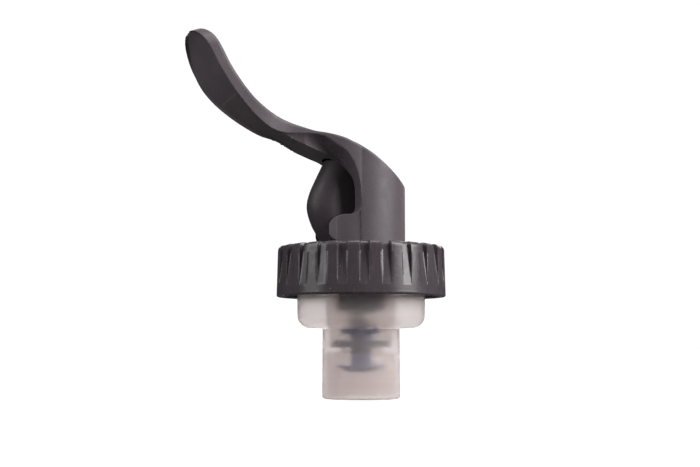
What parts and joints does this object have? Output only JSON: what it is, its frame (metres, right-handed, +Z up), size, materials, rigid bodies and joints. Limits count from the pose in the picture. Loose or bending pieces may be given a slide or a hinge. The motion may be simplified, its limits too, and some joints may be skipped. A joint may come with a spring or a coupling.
{
  "type": "liquor pour spout",
  "caption": "Pour spout for a liquor bottle: a thumb lever tilts a hood off the mouth and lifts a sprung valve, over a screw-on collar.",
  "frame": {"origin": "on the spout's axis, in the plane where the bottle's rim seats", "axes": "+Z up along the axis, from the stopper to the lever; +X out of the pour mouth; the thumb paddle points to -X"},
  "size_m": [0.0673, 0.043, 0.0915],
  "materials": {
    "lever_plastic": "fine satin, dark warm grey",
    "turret_plastic": "fine satin, near black",
    "collar_plastic": "semi-gloss, dark grey",
    "milky_plastic": "translucent natural polyethylene",
    "blue_plastic": "moulded, dark blue",
    "grey_plastic": "moulded, grey",
    "soft_rubber": "matt",
    "pale_silicone": "matt, off-white",
    "steel": "stainless, drawn",
    "acetal": "natural, smooth"
  },
  "bodies": {
    "spout": {"spout_body": "turret_plastic", "valve_guide": "grey_plastic", "rod_wiper": "soft_rubber", "wiper_cap": "acetal", "stopper_plug": "milky_plastic", "rim_gasket": "soft_rubber", "body_o_ring": "soft_rubber", "slip_washer": "acetal", "retaining_ring": "steel", "return_spring": "steel"},
    "collar": {"screw_collar": "collar_plastic"},
    "lever": {"thumb_lever": "lever_plastic", "mouth_seal": "pale_silicone", "pivot_pin": "steel"},
    "valve": {"valve_rod": "steel", "lift_pin": "steel", "valve_stem": "blue_plastic", "poppet_seal": "grey_plastic", "valve_disc": "blue_plastic", "spring_washer": "steel", "rod_clip": "steel"}
  },
  "joints": [
    {"name": "lever_tilt", "type": "hinge", "parent": "spout", "child": "lever", "pos_m": [-0.0072, 0, 0.00885], "axis": [0, -1, 0], "range_deg": [0, 25], "stiffness_Nm_per_rad": 0.087, "springref_deg": -25.21},
    {"name": "valve_lift", "type": "slide", "parent": "spout", "child": "valve", "axis": [0, 0, 1], "range_m": [0, 0.003], "deforming": ["return_spring"]},
    {"name": "collar_spin", "type": "hinge", "parent": "spout", "child": "collar", "pos_m": [0, 0, 0], "axis": [0, 0, 1], "continuous": true}
  ],
  "couplings": [
    {"joint": "valve_lift", "follows": "lever_tilt", "m_per_rad": 0.0068}
  ]
}
